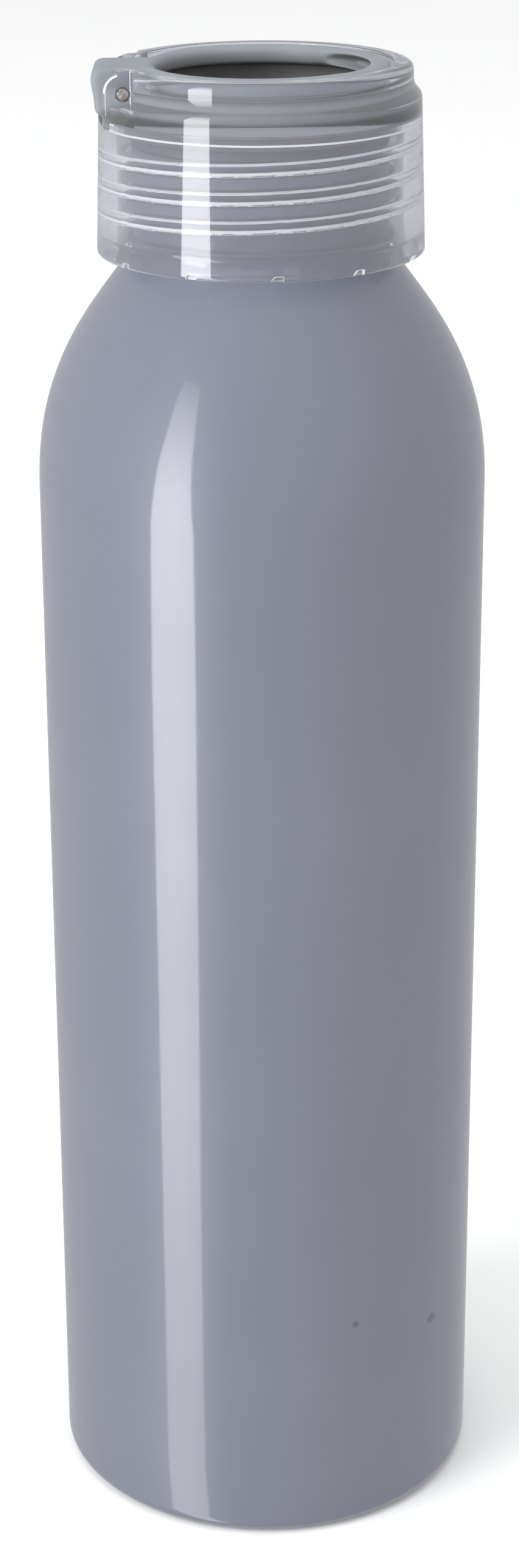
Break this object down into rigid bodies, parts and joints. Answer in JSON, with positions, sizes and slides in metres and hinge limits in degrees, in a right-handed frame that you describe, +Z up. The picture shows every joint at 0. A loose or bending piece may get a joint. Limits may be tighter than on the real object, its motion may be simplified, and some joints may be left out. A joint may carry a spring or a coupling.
{
  "type": "drinks bottle",
  "caption": "Single-wall metal drinks bottle with a clear screw cap, internal seal disc and a fold-flat carry ring hinged on a steel pin.",
  "frame": {"origin": "centre of the base, on the plane the bottle stands on", "axes": "+Z up the bottle's axis, front is -Y, the carry ring's hinge is on the -X side"},
  "size_m": [0.066, 0.066, 0.2244],
  "materials": {
    "paint": "gloss",
    "clear_plastic": "polished",
    "seal": "matte",
    "ring_plastic": "satin",
    "pin_steel": "satin"
  },
  "bodies": {
    "bottle": {"bottle_body": "paint"},
    "cap_seal": {"seal_disc": "seal"},
    "cap": {"screw_cap": "clear_plastic", "hinge_pin": "pin_steel"},
    "ring": {"carry_ring": "ring_plastic"}
  },
  "joints": [
    {"name": "cap_lift", "type": "slide", "parent": "bottle", "child": "cap_seal", "axis": [0, 0, 1], "range_m": [0, 0.01765]},
    {"name": "cap_turn", "type": "hinge", "parent": "cap_seal", "child": "cap", "pos_m": [0, 0, 0.2], "axis": [0, 0, 1], "range_deg": [0, 1620]},
    {"name": "ring_flip", "type": "hinge", "parent": "cap", "child": "ring", "pos_m": [-0.01925, 0, 0.2211], "axis": [0, -1, 0], "range_deg": [0, 90]}
  ],
  "couplings": [
    {"joint": "cap_lift", "follows": "cap_turn", "m_per_rad": 0.0006207}
  ]
}
